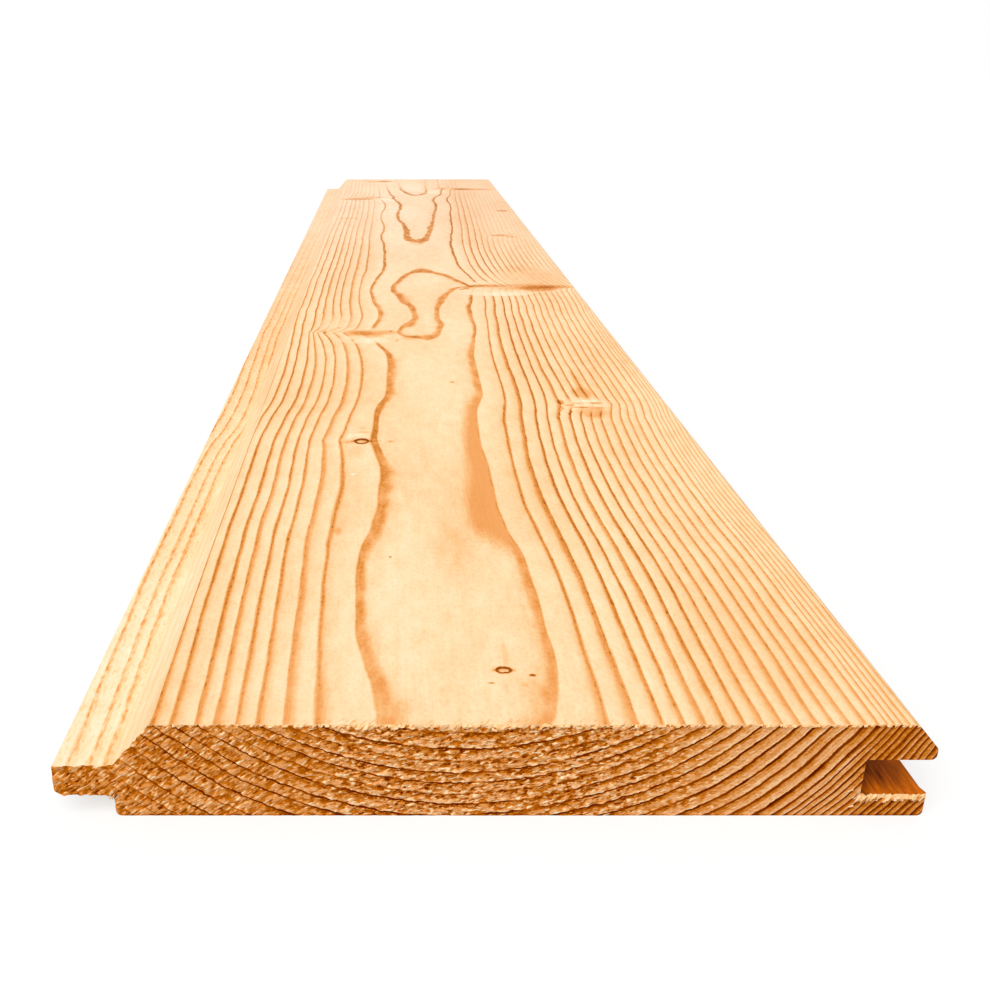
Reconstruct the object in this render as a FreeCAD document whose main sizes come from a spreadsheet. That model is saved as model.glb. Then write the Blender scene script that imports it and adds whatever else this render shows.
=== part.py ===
"""Tongue and groove board: one planed softwood board, 18 x 146 mm in section.

The section has a tongue along the left edge, a matching groove along the right edge, and a bevel on
each side of the face, which meet as a V where two boards join. The board lies on its back face:
+X across from tongue to groove, +Y along the board, +Z up through the face.
"""
import FreeCAD, Part
import Sketcher
import math
import os

# Driving dimensions in millimetres, and one angle in degrees.
DIMENSIONS = {
    "board_length": 850.0,
    "thickness": 18.0,
    "cover_width": 135.5,        # from the shoulder to the end of the back lip, the step between boards
    "tongue_length": 10.0,
    "tongue_thickness": 5.8,
    "tongue_depth": 8.05,        # top of the tongue, below the face
    "tongue_end_gap": 1.0,       # room in front of the tongue's tip when the shoulder meets the back lip
    "tongue_top_gap": 1.2,       # room above the tongue in the groove
    "tongue_under_gap": 0.15,    # room below the tongue in the groove
    "bevel_angle": 49.3,         # both bevels, from the plane of the face
    "lip_bevel_depth": 4.7,      # foot of the bevel on the front lip, below the face
    "front_lip_overhang": 0.5,   # the front lip reaches past the back lip
    "face_arris_radius": 1.0,
    "nose_radius": 0.9,
    "tongue_top_radius": 0.4,
    "tongue_lead_radius": 1.5,   # lower edge of the tip, which leads the tongue into the groove
    "tongue_root_radius": 1.5,
    "groove_root_radius": 0.5,
    "back_arris_radius": 0.9,
}

doc = FreeCAD.newDocument("TongueAndGrooveBoard")

sheet = doc.addObject("Spreadsheet::Sheet", "Dimensions")
for row, (alias, value) in enumerate(DIMENSIONS.items(), start=1):
    sheet.set(f"A{row}", alias)
    sheet.set(f"B{row}", str(value))
    sheet.setAlias(f"B{row}", alias)
doc.recompute()


def size(alias):
    """A driving dimension, read back from the spreadsheet."""
    return float(sheet.get(alias))


def section_corners():
    """The corners of the section as (x, z), in order round the outline, before any arris is rounded."""
    top = size("thickness")
    tip = -(size("tongue_length") + size("cover_width") + size("front_lip_overhang")) / 2
    nose = -tip
    shoulder = tip + size("tongue_length")
    tongue_top = top - size("tongue_depth")
    tongue_under = tongue_top - size("tongue_thickness")
    steepness = math.tan(math.radians(size("bevel_angle")))
    back_lip_end = nose - size("front_lip_overhang")
    groove_wall = back_lip_end - size("tongue_length") - size("tongue_end_gap")
    groove_top = tongue_top + size("tongue_top_gap")
    groove_floor = tongue_under - size("tongue_under_gap")
    return {
        "shoulder_back": (shoulder, 0.0),
        "tongue_root": (shoulder, tongue_under),
        "tip_under": (tip, tongue_under),
        "tip_top": (tip, tongue_top),
        "bevel_foot": (shoulder, tongue_top),
        "bevel_head": (shoulder + size("tongue_depth") / steepness, top),
        "lip_bevel_head": (nose - size("lip_bevel_depth") / steepness, top),
        "lip_bevel_foot": (nose, top - size("lip_bevel_depth")),
        "nose_under": (nose, groove_top),
        "groove_top": (groove_wall, groove_top),
        "groove_floor": (groove_wall, groove_floor),
        "back_lip_top": (back_lip_end, groove_floor),
        "back_lip_under": (back_lip_end, 0.0),
    }


CORNERS = section_corners()
NAMES = list(CORNERS)
FOLLOWING = NAMES[1:] + NAMES[:1]

# The section, drawn on the plane across the board.
board = doc.addObject("PartDesign::Body", "board")
board.Label = "board"
across = next(plane for plane in board.Origin.OriginFeatures if plane.Role == "XZ_Plane")
section = board.newObject("Sketcher::SketchObject", "Section")
section.AttachmentSupport = [(across, "")]
section.MapMode = "FlatFace"

START, END = 1, 2
ORIGIN = (-1, 1)
side_of = {}
for name, following in zip(NAMES, FOLLOWING):
    line = Part.LineSegment(FreeCAD.Vector(*CORNERS[name], 0), FreeCAD.Vector(*CORNERS[following], 0))
    side_of[name] = section.addGeometry(line, False)
for name, following in zip(NAMES, FOLLOWING):
    section.addConstraint(Sketcher.Constraint("Coincident", side_of[name], END, side_of[following], START))

# Each side is named by the corner it starts from.
for name in ("shoulder_back", "tip_under", "lip_bevel_foot", "groove_top", "back_lip_top"):
    section.addConstraint(Sketcher.Constraint("Vertical", side_of[name]))
for name in ("tongue_root", "tip_top", "bevel_head", "nose_under", "groove_floor", "back_lip_under"):
    section.addConstraint(Sketcher.Constraint("Horizontal", side_of[name]))
section.addConstraint(Sketcher.Constraint("PointOnObject", side_of["shoulder_back"], START, -1))
section.addConstraint(
    Sketcher.Constraint("Vertical", side_of["tongue_root"], START, side_of["bevel_foot"], START)
)


def dimension(label, kind, first, second, formula):
    """A named distance between two corners, or from a corner to the origin, bound to the spreadsheet."""
    start = (side_of[first], START)
    end = ORIGIN if second is None else (side_of[second], START)
    axis = 0 if kind == "DistanceX" else 1
    far = (0.0, 0.0) if second is None else CORNERS[second]
    value = far[axis] - CORNERS[first][axis]
    index = section.addConstraint(Sketcher.Constraint(kind, *start, *end, value))
    section.renameConstraint(index, label)
    section.setExpression(f"Constraints.{label}", formula)


def slope(label, corner, sign, formula):
    """The named angle of the side that starts at a corner, bound to the spreadsheet."""
    angle = sign * math.radians(size("bevel_angle"))
    index = section.addConstraint(Sketcher.Constraint("Angle", side_of[corner], angle))
    section.renameConstraint(index, label)
    section.setExpression(f"Constraints.{label}", formula)


WIDTH = "(Dimensions.tongue_length + Dimensions.cover_width + Dimensions.front_lip_overhang)"
dimension("half_width", "DistanceX", "tip_top", None, f"{WIDTH} / 2")
dimension("overall_width", "DistanceX", "tip_top", "nose_under", WIDTH)
dimension("thickness", "DistanceY", "shoulder_back", "bevel_head", "Dimensions.thickness")
dimension("tongue_length", "DistanceX", "tip_top", "bevel_foot", "Dimensions.tongue_length")
dimension("tongue_depth", "DistanceY", "bevel_foot", "bevel_head", "Dimensions.tongue_depth")
dimension("tongue_thickness", "DistanceY", "tip_under", "tip_top", "Dimensions.tongue_thickness")
dimension("lip_bevel_depth", "DistanceY", "lip_bevel_foot", "lip_bevel_head", "Dimensions.lip_bevel_depth")
dimension("front_lip_overhang", "DistanceX", "back_lip_top", "nose_under", "Dimensions.front_lip_overhang")
dimension(
    "groove_depth", "DistanceX", "groove_floor", "back_lip_top",
    "Dimensions.tongue_length + Dimensions.tongue_end_gap",
)
dimension(
    "front_lip_thickness", "DistanceY", "nose_under", "lip_bevel_head",
    "Dimensions.tongue_depth - Dimensions.tongue_top_gap",
)
dimension(
    "groove_height", "DistanceY", "groove_floor", "groove_top",
    "Dimensions.tongue_thickness + Dimensions.tongue_top_gap + Dimensions.tongue_under_gap",
)
slope("bevel_angle", "bevel_foot", 1, "Dimensions.bevel_angle * 1 deg")
slope("lip_bevel_angle", "lip_bevel_head", -1, "-Dimensions.bevel_angle * 1 deg")
doc.recompute()

# The section runs the length of the board, half each way.
stick = board.newObject("PartDesign::Pad", "Stick")
stick.Profile = section
stick.Midplane = True
stick.setExpression("Length", "Dimensions.board_length")
doc.recompute()


def long_edges(shape, corners):
    """Names of the edges that run along the board through the given corners of the section."""
    found = []
    for corner in corners:
        x, z = CORNERS[corner]
        for number, edge in enumerate(shape.Edges, start=1):
            ends = [vertex.Point for vertex in edge.Vertexes]
            if all(math.hypot(end.x - x, end.z - z) < 1e-4 for end in ends):
                found.append(f"Edge{number}")
    return found


def round_arris(label, base, corners, radius):
    """A fillet along the board at some corners of the section, with its radius from the spreadsheet."""
    fillet = board.newObject("PartDesign::Fillet", label)
    fillet.Base = (base, long_edges(base.Shape, corners))
    fillet.setExpression("Radius", f"Dimensions.{radius}")
    doc.recompute()
    return fillet


rounded = round_arris("FaceArrises", stick, ["bevel_head", "lip_bevel_head"], "face_arris_radius")
rounded = round_arris("Nose", rounded, ["lip_bevel_foot", "nose_under"], "nose_radius")
rounded = round_arris("TongueTop", rounded, ["tip_top"], "tongue_top_radius")
rounded = round_arris("TongueLead", rounded, ["tip_under"], "tongue_lead_radius")
rounded = round_arris("TongueRoot", rounded, ["tongue_root"], "tongue_root_radius")
rounded = round_arris("GrooveRoot", rounded, ["groove_top", "groove_floor"], "groove_root_radius")
rounded = round_arris("BackArrises", rounded, ["shoulder_back", "back_lip_under"], "back_arris_radius")

# Nothing is written unless every feature is sound.
for item in doc.Objects:
    if "Invalid" in item.State or "Error" in item.State:
        raise RuntimeError(f"{item.Name} failed: {item.State}")
if board.Shape.isNull() or not board.Shape.isValid():
    raise RuntimeError("the board's solid is not valid")

os.makedirs("parts", exist_ok=True)
board.Shape.exportStep(f"parts/{board.Label}.step")
print("board volume mm3", round(board.Shape.Volume, 1), board.Shape.BoundBox)
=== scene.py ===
import math
import random

import bmesh
import bpy
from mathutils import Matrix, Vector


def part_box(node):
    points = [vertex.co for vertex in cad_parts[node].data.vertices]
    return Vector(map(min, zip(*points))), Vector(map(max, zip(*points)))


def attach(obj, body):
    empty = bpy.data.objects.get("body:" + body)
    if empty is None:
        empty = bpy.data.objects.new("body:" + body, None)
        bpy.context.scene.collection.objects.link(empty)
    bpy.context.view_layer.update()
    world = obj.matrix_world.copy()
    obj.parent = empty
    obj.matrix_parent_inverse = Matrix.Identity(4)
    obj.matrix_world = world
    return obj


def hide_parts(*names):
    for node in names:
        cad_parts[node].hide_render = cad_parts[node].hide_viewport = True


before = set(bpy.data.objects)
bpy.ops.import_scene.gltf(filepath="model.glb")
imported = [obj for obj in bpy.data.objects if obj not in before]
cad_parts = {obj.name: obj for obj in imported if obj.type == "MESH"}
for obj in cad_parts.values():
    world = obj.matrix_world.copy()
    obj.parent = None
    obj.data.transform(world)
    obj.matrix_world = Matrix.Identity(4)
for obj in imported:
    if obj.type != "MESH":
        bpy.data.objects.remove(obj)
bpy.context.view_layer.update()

# The board
# One softwood board, sawn from a log, planed on every long side and run through a moulder, which
# cut the tongue, the groove and the two bevels. Its ends are left as the cross-cut saw tore them.
MM = 0.001
BOARD_LOW, BOARD_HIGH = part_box("board")
LEFT, NEAR, BACK = BOARD_LOW
RIGHT, FAR, FACE = BOARD_HIGH
LENGTH_MM = (FAR - NEAR) / MM
THICKNESS_MM = (FACE - BACK) / MM

# The section, across the board. Heights are above the back of the board.
SHOULDER = LEFT + 10.0 * MM
TONGUE_UNDER = BACK + 4.15 * MM
TONGUE_TOP = BACK + 9.95 * MM
GROOVE_FLOOR = BACK + 4.0 * MM
GROOVE_TOP = BACK + 11.15 * MM
GROOVE_WALL = RIGHT - 11.5 * MM
BACK_LIP_END = RIGHT - 0.5 * MM
LIP_BEVEL_FOOT = FACE - 4.7 * MM
BEVEL_ANGLE = math.radians(49.3)
BEVEL_RUN = (FACE - TONGUE_TOP) / math.tan(BEVEL_ANGLE)
LIP_BEVEL_RUN = (FACE - LIP_BEVEL_FOOT) / math.tan(BEVEL_ANGLE)
BEVEL_HEAD = SHOULDER + BEVEL_RUN
LIP_BEVEL_HEAD = RIGHT - LIP_BEVEL_RUN
SQUARE = math.radians(90)

# Arrises to round: place across, height, radius, and how far the surface turns there.
ARRISES = [
    (BEVEL_HEAD, FACE, 1.0 * MM, BEVEL_ANGLE),
    (LIP_BEVEL_HEAD, FACE, 1.0 * MM, BEVEL_ANGLE),
    (RIGHT, LIP_BEVEL_FOOT, 0.9 * MM, SQUARE - BEVEL_ANGLE),
    (RIGHT, GROOVE_TOP, 0.9 * MM, SQUARE),
    (LEFT, TONGUE_TOP, 0.4 * MM, SQUARE),
    (LEFT, TONGUE_UNDER, 1.5 * MM, SQUARE),
    (SHOULDER, TONGUE_UNDER, 1.5 * MM, SQUARE),
    (GROOVE_WALL, GROOVE_TOP, 0.5 * MM, SQUARE),
    (GROOVE_WALL, GROOVE_FLOOR, 0.5 * MM, SQUARE),
    (SHOULDER, BACK, 0.9 * MM, SQUARE),
    (BACK_LIP_END, BACK, 0.9 * MM, SQUARE),
]
ARRIS_SEGMENTS = 4
SLIGHT = 0.01 * MM


def near_to(value, place):
    """Whether two lengths are the same, but for a slight difference."""
    return abs(value - place) < SLIGHT


def pick_edges(piece, test):
    """Select the edges whose two ends pass a test, in edit mode."""
    mesh = bmesh.from_edit_mesh(piece.data)
    bpy.ops.mesh.select_mode(type="EDGE")
    bpy.ops.mesh.select_all(action="DESELECT")
    for edge in mesh.edges:
        if all(test(vertex.co) for vertex in edge.verts):
            edge.select_set(True)
    bmesh.update_edit_mesh(piece.data)


def pick_faces(piece, test):
    """Select the faces whose middle passes a test, in edit mode."""
    mesh = bmesh.from_edit_mesh(piece.data)
    bpy.ops.mesh.select_mode(type="FACE")
    bpy.ops.mesh.select_all(action="DESELECT")
    for face in mesh.faces:
        if test(face.calc_center_median()):
            face.select_set(True)
    bmesh.update_edit_mesh(piece.data)


# The section starts as the board's square middle, standing at the near end.
bpy.ops.object.select_all(action="DESELECT")
bpy.ops.mesh.primitive_plane_add(size=1.0, location=(0, 0, 0))
board = bpy.context.object
board.name = "planed_board"
bpy.ops.object.mode_set(mode="EDIT")
bpy.ops.transform.resize(value=(GROOVE_WALL - SHOULDER, FACE - BACK, 1))
bpy.ops.object.mode_set(mode="OBJECT")
board.rotation_euler = (SQUARE, 0, 0)
board.location = ((GROOVE_WALL + SHOULDER) / 2, NEAR, (FACE + BACK) / 2)
bpy.ops.object.transform_apply(location=True, rotation=True, scale=True)

# The tongue and the two lips of the groove grow sideways out of it.
bpy.ops.object.mode_set(mode="EDIT")
for height in (GROOVE_FLOOR, TONGUE_UNDER, TONGUE_TOP, GROOVE_TOP):
    bpy.ops.mesh.select_all(action="SELECT")
    bpy.ops.mesh.bisect(plane_co=(0, NEAR, height), plane_no=(0, 0, 1))
for root, low, high, reach in (
    (SHOULDER, TONGUE_UNDER, TONGUE_TOP, LEFT - SHOULDER),
    (GROOVE_WALL, BACK, GROOVE_FLOOR, BACK_LIP_END - GROOVE_WALL),
    (GROOVE_WALL, GROOVE_TOP, FACE, RIGHT - GROOVE_WALL),
):
    pick_edges(
        board,
        lambda place: near_to(place.x, root) and low - SLIGHT < place.z < high + SLIGHT,
    )
    bpy.ops.mesh.extrude_edges_move(TRANSFORM_OT_translate={"value": (reach, 0, 0)})

# The moulder's bevels take off the two upper corners.
pick_faces(board, lambda place: place.x > SHOULDER)
bpy.ops.mesh.bisect(
    plane_co=(BEVEL_HEAD, NEAR, FACE),
    plane_no=(-math.sin(BEVEL_ANGLE), 0, math.cos(BEVEL_ANGLE)),
    clear_outer=True,
)
pick_faces(board, lambda place: place.x > GROOVE_WALL and place.z > GROOVE_TOP)
bpy.ops.mesh.bisect(
    plane_co=(LIP_BEVEL_HEAD, NEAR, FACE),
    plane_no=(math.sin(BEVEL_ANGLE), 0, math.cos(BEVEL_ANGLE)),
    clear_outer=True,
)

# The section is drawn out along the board and its arrises are rounded.
bpy.ops.mesh.select_all(action="SELECT")
bpy.ops.mesh.remove_doubles(threshold=MM / 1000)
bpy.ops.mesh.select_all(action="SELECT")
bpy.ops.mesh.extrude_region_move(TRANSFORM_OT_translate={"value": (0, FAR - NEAR, 0)})
bpy.ops.mesh.select_all(action="SELECT")
bpy.ops.mesh.normals_make_consistent(inside=False)
bpy.ops.mesh.dissolve_limited(angle_limit=math.radians(1))
for across, height, radius, turn in ARRISES:
    pick_edges(board, lambda place: near_to(place.x, across) and near_to(place.z, height))
    bpy.ops.mesh.bevel(
        offset=radius * math.tan(turn / 2), segments=ARRIS_SEGMENTS, profile=0.5, affect="EDGES"
    )

# Each end is cut into fine cells, which take the saw's relief. A few rows behind it follow along.
CELL = 0.36 * MM
RELIEF_ROWS = (0.3 * MM, 0.9 * MM, 2.4 * MM)
RELIEF_DEPTH = RELIEF_ROWS[-1]
for row in RELIEF_ROWS:
    for station in (NEAR + row, FAR - row):
        bpy.ops.mesh.select_all(action="SELECT")
        bpy.ops.mesh.bisect(plane_co=(0, station, 0), plane_no=(0, 1, 0))


def end_zone(place):
    """Whether a place is in the stretch at either end that carries the saw's relief."""
    return place.y < NEAR + RELIEF_DEPTH or place.y > FAR - RELIEF_DEPTH


def cut_cells(low, high, axis):
    """Cut both end zones into slices about one cell thick, across the given axis."""
    count = round((high - low) / CELL)
    for number in range(1, count):
        place = low + (high - low) * number / count
        pick_faces(board, end_zone)
        bpy.ops.mesh.bisect(plane_co=tuple(place * part for part in axis), plane_no=axis)


cut_cells(LEFT, RIGHT, (1, 0, 0))
cut_cells(BACK, FACE, (0, 0, 1))
bpy.ops.object.mode_set(mode="OBJECT")

# How the tree grew. Rings lie round the pith, which ran above the face, so the face shows long
# loops and the ends show arcs. The pith's lists give places along the board and its place across,
# or its height above the face, all in millimetres. Outer rings follow a smoother pith of their own.
# The lists of rings give distances from the pith, and the number of the ring there.
INNER_PITH_ACROSS = [
    (0, -4.8), (12, -3.9), (30, -5.2), (55, -5.7), (80, -5.9), (110, -5.2), (130, -6.2),
    (155, -6.8), (180, -4.6), (205, -2.2), (250, -2.4), (273, -3.2), (300, -2.6), (330, -3.0),
    (365, -1.6), (390, -0.4), (420, -1.1), (460, -1.3), (510, -1.8), (540, -0.1), (565, 0.5),
    (590, -0.2), (630, 0.6), (670, 2.8), (700, 1.0), (740, 2.6), (790, 1.0), (850, 1.5),
]
INNER_PITH_HEIGHT = [
    (0, 49.75), (12, 49.15), (30, 48.3), (55, 48.25), (80, 49.3), (110, 49.75), (130, 49.5),
    (155, 49.4), (205, 49.2), (230, 49.2), (250, 48.6), (263, 47.85), (282, 46.95), (302, 47.6),
    (330, 46.7), (348, 46.0), (362, 45.2), (378, 45.6), (395, 46.5), (409, 47.5), (425, 47.8),
    (465, 47.85), (497, 47.6), (506, 47.2), (516, 47.0), (540, 46.85), (565, 46.6),
    (590, 46.05), (616, 45.7), (666, 45.65), (712, 45.0), (730, 43.62), (742, 42.95),
    (757, 42.6), (780, 42.3), (850, 41.8),
]
OUTER_PITH_ACROSS = [
    (0, -5.5), (55, -6.4), (110, -7.4), (160, -6.1), (205, -3.6), (250, -4.0), (300, -4.2),
    (330, -3.2), (420, -2.9), (460, -2.8), (540, -1.4), (630, 0.5), (740, 1.5), (850, 2.0),
]
OUTER_PITH_HEIGHT = [
    (0, 49.75), (55, 49.55), (110, 50.35), (160, 50.0), (205, 50.1), (250, 49.6), (300, 48.2),
    (330, 47.6), (365, 47.4), (420, 48.0), (460, 48.2), (540, 47.3), (630, 46.6), (740, 45.2),
    (850, 44.0),
]
INNER_UNTIL, OUTER_FROM = 51.5, 56.5
INNER_RINGS = [(36, -4.2), (43.6, -2), (47.5, -1), (51.6, 0), (55.1, 1), (57.4, 2), (59.7, 3)]
LEFT_RINGS = INNER_RINGS + [
    (61.7, 4), (63.9, 5), (65.9, 6), (68.6, 7), (70.8, 8), (73.6, 9), (76.7, 10), (79.8, 11),
    (82.9, 12), (84.8, 13), (87.4, 14), (92.5, 16), (110, 23),
]
RIGHT_RINGS = INNER_RINGS + [
    (63.7, 5), (68.0, 7), (72.1, 9), (76.5, 11), (80.4, 13), (84.3, 15), (86.4, 17),
    (88.9, 19.5), (110, 40),
]

# Side branches push the rings outwards. Each has its side of the pith, its place along the board,
# where across the face it begins, is full, ends and has faded, how far it pushes, and how soon
# that dies away towards the near end and towards the far end.
BRANCHES = [
    (+1, 366, 0, 32, 90, 110, 4.8, 3.0, 17.0),
    (-1, 272.5, 13, 29, 44, 51, 3.3, 15.0, 4.0),
    (+1, 177, 30, 42, 50, 60, 1.3, 8.0, 9.0),
    (-1, 142, 20, 29, 34, 44, 0.6, 7.0, 8.0),
    (-1, 708, 10, 28, 58, 70, 2.6, 3.0, 12.0),
    (+1, 776, 14, 34, 90, 110, 3.0, 10.0, 6.0),
    (-1, 839, 5, 18, 42, 52, 2.5, 8.0, 6.0),
    (+1, 524, 32, 46, 56, 66, 1.2, 12.0, 6.0),
]

# Low swells in the rings: place across, place along, width, length and height.
SWELLS = [
    (9.5, 108, 5.0, 34, -0.30), (1.5, 112, 4.5, 30, 0.35), (-2.0, 315, 4.5, 40, -1.8),
    (-10.5, 273, 4.2, 9, -1.5), (5.0, 272, 3.5, 9, 0.5), (-36.0, 303, 14.0, 18, 1.1),
]


def paint(red, green, blue):
    """A colour given as it shows on a screen, 0 to 255, as Blender stores it."""
    shares = [part / 255 for part in (red, green, blue)]
    light = [
        share / 12.92 if share <= 0.04045 else ((share + 0.055) / 1.055) ** 2.4
        for share in shares
    ]
    return (*light, 1.0)


# The tones of the wood, from the palest early wood to the darkest cracks: a tone, and its colour.
# The far half of the face is a little pinker. The sawn ends are never as pale as the face.
PLANED_TONES = [
    (0.00, paint(255, 246, 216)), (0.12, paint(253, 225, 177)), (0.27, paint(249, 190, 126)),
    (0.36, paint(244, 168, 98)), (0.46, paint(231, 149, 69)), (0.54, paint(212, 132, 47)),
    (0.62, paint(198, 114, 28)), (0.82, paint(148, 71, 5)), (1.00, paint(104, 30, 0)),
]
FAR_TONES = [
    (0.00, paint(254, 245, 222)), (0.12, paint(250, 222, 186)), (0.27, paint(245, 194, 147)),
    (0.36, paint(238, 172, 117)), (0.46, paint(224, 150, 86)), (0.54, paint(206, 132, 64)),
    (0.62, paint(190, 112, 42)), (0.82, paint(146, 72, 15)), (1.00, paint(104, 34, 4)),
]
SAWN_TONES = [
    (0.00, paint(255, 230, 184)), (0.12, paint(254, 212, 158)), (0.27, paint(246, 186, 130)),
    (0.36, paint(238, 168, 106)), (0.46, paint(226, 149, 76)), (0.55, paint(213, 130, 42)),
    (0.64, paint(199, 108, 12)), (0.82, paint(156, 71, 0)), (1.00, paint(98, 25, 0)),
]


class Net:
    """A net of nodes in a material or a relief. Values are numbers or nodes' outputs."""

    def __init__(self, tree):
        self.tree = tree

    def node(self, kind, values, output=0, **settings):
        made = self.tree.nodes.new(kind)
        for name, setting in settings.items():
            setattr(made, name, setting)
        for socket, value in values.items():
            if isinstance(value, bpy.types.NodeSocket):
                self.tree.links.new(value, made.inputs[socket])
            else:
                made.inputs[socket].default_value = value
        return made.outputs[output]

    def math(self, operation, *values):
        return self.node("ShaderNodeMath", dict(enumerate(values)), operation=operation)

    def times(self, first, second):
        return self.math("MULTIPLY", first, second)

    def minus(self, first, second):
        return self.math("SUBTRACT", first, second)

    def join(self, x, y, z):
        return self.node("ShaderNodeCombineXYZ", {0: x, 1: y, 2: z})

    def step(self, value, start, end, low=0.0, high=1.0):
        """A smooth change from low to high as the value goes from start to end."""
        ends = {0: value, 1: start, 2: end, 3: low, 4: high}
        return self.node("ShaderNodeMapRange", ends, interpolation_type="SMOOTHSTEP")

    def blend(self, share, first, second):
        return self.node("ShaderNodeMix", {0: share, 2: first, 3: second}, data_type="FLOAT")

    def tint(self, share, first, second):
        colours = {0: share, 6: first, 7: second}
        return self.node("ShaderNodeMix", colours, output=2, data_type="RGBA")

    def noise(self, place, detail=2.0, rough=0.5):
        """Soft random values about 0.5, one lump to each unit of the place."""
        values = {"Vector": place, "Scale": 1.0, "Detail": detail, "Roughness": rough}
        return self.node("ShaderNodeTexNoise", values, noise_dimensions="3D")

    def curve(self, value, points):
        """A smooth curve through given points, level beyond its ends."""
        first, last = points[0][0], points[-1][0]
        low = min(height for _, height in points)
        high = max(height for _, height in points)
        share = self.node("ShaderNodeMapRange", {0: value, 1: first, 2: last}, clamp=True)
        made = self.tree.nodes.new("ShaderNodeFloatCurve")
        line = made.mapping.curves[0]
        places = [((x - first) / (last - first), (y - low) / (high - low)) for x, y in points]
        line.points[0].location = places[0]
        line.points[1].location = places[-1]
        for place in places[1:-1]:
            line.points.new(*place)
        for point in line.points:
            point.handle_type = "AUTO_CLAMPED"
        made.mapping.update()
        self.tree.links.new(share, made.inputs["Value"])
        return self.math("MULTIPLY_ADD", made.outputs[0], high - low, low)

    def plus(self, value, share, amount):
        """A value with a share of some amount added."""
        return self.math("MULTIPLY_ADD", share, amount, value)

    def spread(self, value, random, amount):
        """A value moved up and down by a random pattern."""
        return self.math("MULTIPLY_ADD", self.minus(random, 0.5), amount, value)

    def wood_colour(self, tone, tones):
        """The colour of the wood at a tone."""
        made = self.tree.nodes.new("ShaderNodeValToRGB")
        stops = made.color_ramp.elements
        stops[0].color = tones[0][1]
        stops[1].color = tones[-1][1]
        for place, colour in tones[1:-1]:
            stops.new(place).color = colour
        self.tree.links.new(tone, made.inputs[0])
        return made.outputs[0]

    def along_board(self, position):
        """A place in metres, as millimetres across, along from the near end, and up."""
        sizes = {0: position, 1: (1 / MM,) * 3}
        in_mm = self.node("ShaderNodeVectorMath", sizes, operation="MULTIPLY")
        split = self.tree.nodes.new("ShaderNodeSeparateXYZ")
        self.tree.links.new(in_mm, split.inputs[0])
        along = self.minus(split.outputs[1], NEAR / MM)
        return split.outputs[0], along, split.outputs[2]


def scaled(net, across, along, up, size_across, size_along, size_up):
    """A place measured in lumps of the given size, for a random pattern."""
    return net.join(
        net.times(across, 1 / size_across),
        net.times(along, 1 / size_along),
        net.times(up, 1 / size_up),
    )


def radius_from_pith(net, across, deep, pith_across, pith_height):
    """How far a place lies from the pith, whose own place is given by two outputs."""
    sideways = net.minus(across, pith_across)
    below = net.math("ADD", pith_height, deep)
    span = net.join(sideways, below, 0.0)
    return net.node("ShaderNodeVectorMath", {0: span}, output=1, operation="LENGTH")


def on_face(net, across, up):
    """Where the ray from the pith through a place meets the face. Branches follow such rays."""
    pith_height = 49.0
    pith_across = -4.0
    shrink = net.math("DIVIDE", pith_height, net.minus(pith_height + THICKNESS_MM, up))
    return net.math("MULTIPLY_ADD", net.minus(across, pith_across), shrink, pith_across)


def ring_number(net, across, along, up):
    """Rings counted outwards from the one that edges the pale middle of the face."""
    # On the right half the rings drift right with depth. Well below the face they lie half a
    # millimetre higher.
    deep = net.minus(THICKNESS_MM, up)
    across = net.minus(across, net.times(deep, net.step(across, 10.0, 45.0, 0.0, 0.19)))
    deep = net.plus(deep, net.step(deep, 0.0, 5.0), 0.5)
    inner = radius_from_pith(
        net, across, deep, net.curve(along, INNER_PITH_ACROSS), net.curve(along, INNER_PITH_HEIGHT)
    )
    outer = radius_from_pith(
        net, across, deep, net.curve(along, OUTER_PITH_ACROSS), net.curve(along, OUTER_PITH_HEIGHT)
    )
    radius = net.blend(net.step(outer, INNER_UNTIL, OUTER_FROM), inner, outer)
    face_across = on_face(net, across, up)
    for side, station, start, full, end, gone, push, near_fade, far_fade in BRANCHES:
        out = net.times(face_across, float(side))
        reach = net.times(net.step(out, start, full), net.step(out, end, gone, 1.0, 0.0))
        gap = net.minus(along, station)
        near_fall = net.math("DIVIDE", gap, near_fade)
        far_fall = net.math("DIVIDE", gap, -far_fade)
        fall = net.math("MINIMUM", near_fall, far_fall)
        strength = net.times(net.math("EXPONENT", fall), reach)
        radius = net.math("MULTIPLY_ADD", strength, -push, radius)
    for swell_across, swell_along, width, length, height in SWELLS:
        sideways = net.math("DIVIDE", net.minus(face_across, swell_across), width)
        lengthways = net.math("DIVIDE", net.minus(along, swell_along), length)
        squares = net.math("MULTIPLY_ADD", sideways, sideways, net.times(lengthways, lengthways))
        swell = net.math("EXPONENT", net.times(squares, -1.0))
        radius = net.math("MULTIPLY_ADD", swell, height, radius)
    wander = net.noise(scaled(net, across, along, up, 9.0, 30.0, 9.0))
    radius = net.spread(radius, wander, 0.7)
    on_left = net.curve(radius, LEFT_RINGS)
    on_right = net.curve(radius, RIGHT_RINGS)
    return net.blend(net.step(across, -8.0, 2.0), on_left, on_right)


def middle_share(net, across):
    """Nothing on the left of an end, one from its middle on."""
    return net.step(across, -45.0, -20.0)


def leaning_noise(net, across, up, run_size, rise_size, seed, detail, rough=0.5):
    """Soft random values on an end, in tufts that lean up to the right, less in the middle."""
    patterns = []
    for lean, shorter in ((math.radians(36), 1.0), (math.radians(14), 0.75)):
        run = net.math("MULTIPLY_ADD", up, math.sin(lean), net.times(across, math.cos(lean)))
        rise = net.math("MULTIPLY_ADD", across, -math.sin(lean), net.times(up, math.cos(lean)))
        place = scaled(net, run, seed, rise, run_size * shorter, 1.0, rise_size)
        patterns.append(net.noise(place, detail, rough))
    return net.blend(middle_share(net, across), *patterns)


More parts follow.
